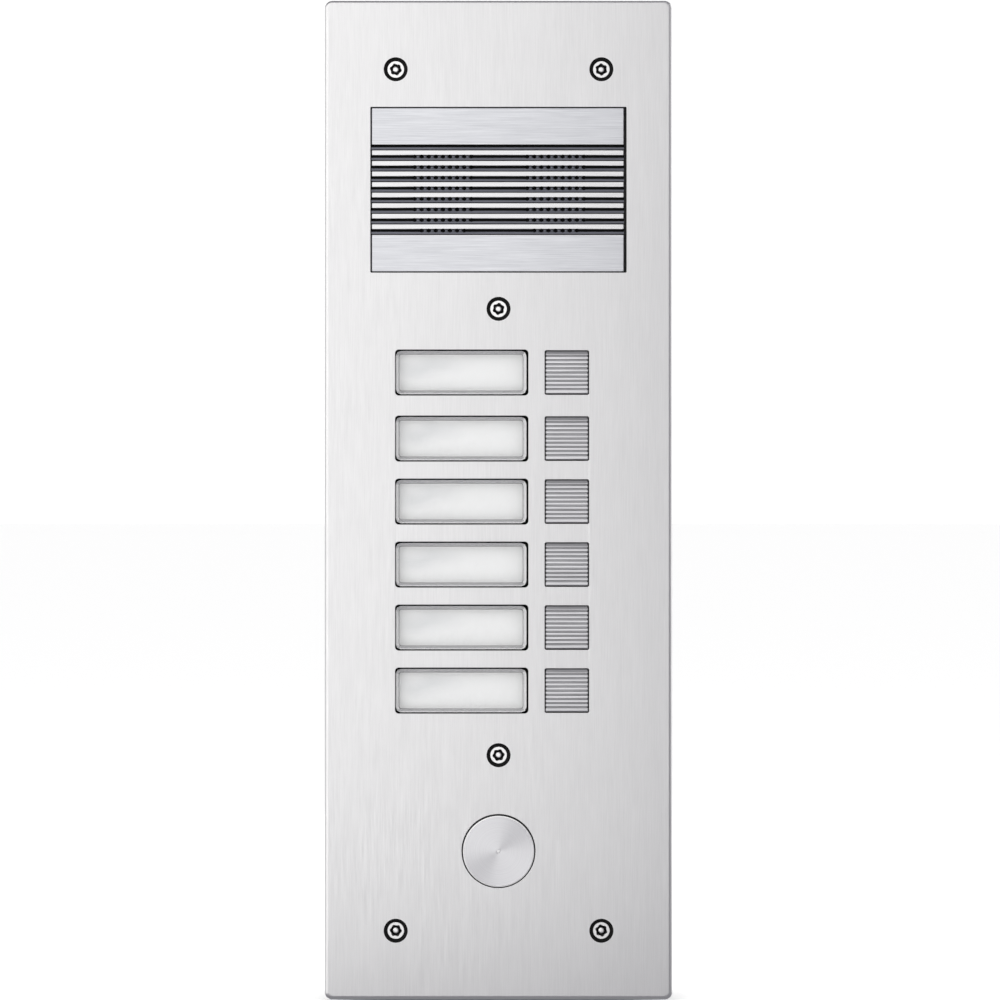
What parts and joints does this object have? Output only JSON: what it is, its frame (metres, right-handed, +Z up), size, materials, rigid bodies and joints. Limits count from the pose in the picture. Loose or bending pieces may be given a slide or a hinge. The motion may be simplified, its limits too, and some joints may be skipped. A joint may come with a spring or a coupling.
{
  "type": "flush door intercom panel",
  "caption": "Flush wall panel: brushed steel plate, louvred speech grille, clear name windows, ribbed square call buttons and a round light button, over a steel wall box.",
  "frame": {"origin": "middle of the front plate on the wall's surface, where the plate's turned rim rests", "axes": "+X to the viewer's right, +Y into the wall, +Z up"},
  "size_m": [0.12, 0.0517, 0.345],
  "materials": {
    "brushed_steel": "vertical brushed grain, satin",
    "aluminium": "fine brushed, clear anodised",
    "screw_steel": "turned, bright",
    "galvanised": "zinc spangle, dull",
    "spring_steel": "drawn wire",
    "clear_acrylic": "polished, clear",
    "card": "uncoated card",
    "opal_acrylic": "opal diffuser",
    "black_plastic": "moulded, fine texture",
    "grey_plastic": "moulded, fine texture",
    "rubber": "matt",
    "cloth": "woven acoustic cloth",
    "cone_paper": "pressed pulp",
    "circuit_board": "solder resist",
    "terminal_plastic": "moulded",
    "wire": "PVC insulation"
  },
  "bodies": {
    "housing": {"front_plate": "brushed_steel", "plate_gasket": "rubber", "back_box": "galvanised", "upper_bridge": "galvanised", "lower_bridge": "galvanised", "cable_grommet": "rubber", "security_screw_1": "screw_steel", "security_screw_2": "screw_steel", "security_screw_3": "screw_steel", "security_screw_4": "screw_steel", "security_screw_5": "screw_steel", "security_screw_6": "screw_steel", "speaker_grille": "aluminium", "grille_membrane": "cloth", "speech_carrier": "black_plastic", "speaker_gasket": "rubber", "speaker_basket": "galvanised", "speaker_magnet": "galvanised", "microphone_boot": "rubber", "microphone_capsule": "aluminium", "call_carrier": "grey_plastic", "light_guide": "opal_acrylic", "call_board": "circuit_board", "name_window_1": "clear_acrylic", "name_window_2": "clear_acrylic", "name_window_3": "clear_acrylic", "name_window_4": "clear_acrylic", "name_window_5": "clear_acrylic", "name_window_6": "clear_acrylic", "name_card_1": "card", "name_card_2": "card", "name_card_3": "card", "name_card_4": "card", "name_card_5": "card", "name_card_6": "card", "call_spring_1": "spring_steel", "call_spring_2": "spring_steel", "call_spring_3": "spring_steel", "call_spring_4": "spring_steel", "call_spring_5": "spring_steel", "call_spring_6": "spring_steel", "light_button_spring": "spring_steel", "light_button_housing": "black_plastic", "light_button_switch": "black_plastic", "main_board": "circuit_board", "terminal_block": "terminal_plastic", "board_link_header": "black_plastic", "speaker_lead": "wire", "microphone_lead": "wire", "light_button_lead": "wire"},
    "call_button_1": {"call_button_1": "aluminium"},
    "call_button_2": {"call_button_2": "aluminium"},
    "call_button_3": {"call_button_3": "aluminium"},
    "call_button_4": {"call_button_4": "aluminium"},
    "call_button_5": {"call_button_5": "aluminium"},
    "call_button_6": {"call_button_6": "aluminium"},
    "light_button": {"light_button_cap": "aluminium"},
    "speaker_cone": {"speaker_cone": "cone_paper"}
  },
  "joints": [
    {"name": "call_button_1_press", "type": "slide", "parent": "housing", "child": "call_button_1", "axis": [0, 1, 0], "range_m": [0, 0.0012], "stiffness_N_per_m": 600, "springref_m": -0.002, "deforming": ["call_spring_1"]},
    {"name": "call_button_2_press", "type": "slide", "parent": "housing", "child": "call_button_2", "axis": [0, 1, 0], "range_m": [0, 0.0012], "stiffness_N_per_m": 600, "springref_m": -0.002, "deforming": ["call_spring_2"]},
    {"name": "call_button_3_press", "type": "slide", "parent": "housing", "child": "call_button_3", "axis": [0, 1, 0], "range_m": [0, 0.0012], "stiffness_N_per_m": 600, "springref_m": -0.002, "deforming": ["call_spring_3"]},
    {"name": "call_button_4_press", "type": "slide", "parent": "housing", "child": "call_button_4", "axis": [0, 1, 0], "range_m": [0, 0.0012], "stiffness_N_per_m": 600, "springref_m": -0.002, "deforming": ["call_spring_4"]},
    {"name": "call_button_5_press", "type": "slide", "parent": "housing", "child": "call_button_5", "axis": [0, 1, 0], "range_m": [0, 0.0012], "stiffness_N_per_m": 600, "springref_m": -0.002, "deforming": ["call_spring_5"]},
    {"name": "call_button_6_press", "type": "slide", "parent": "housing", "child": "call_button_6", "axis": [0, 1, 0], "range_m": [0, 0.0012], "stiffness_N_per_m": 600, "springref_m": -0.002, "deforming": ["call_spring_6"]},
    {"name": "light_button_press", "type": "slide", "parent": "housing", "child": "light_button", "axis": [0, 1, 0], "range_m": [0, 0.0015], "stiffness_N_per_m": 500, "springref_m": -0.004, "deforming": ["light_button_spring"]},
    {"name": "speaker_cone_stroke", "type": "slide", "parent": "housing", "child": "speaker_cone", "axis": [0, 1, 0], "range_m": [-0.0005, 0.0005], "stiffness_N_per_m": 1500}
  ]
}
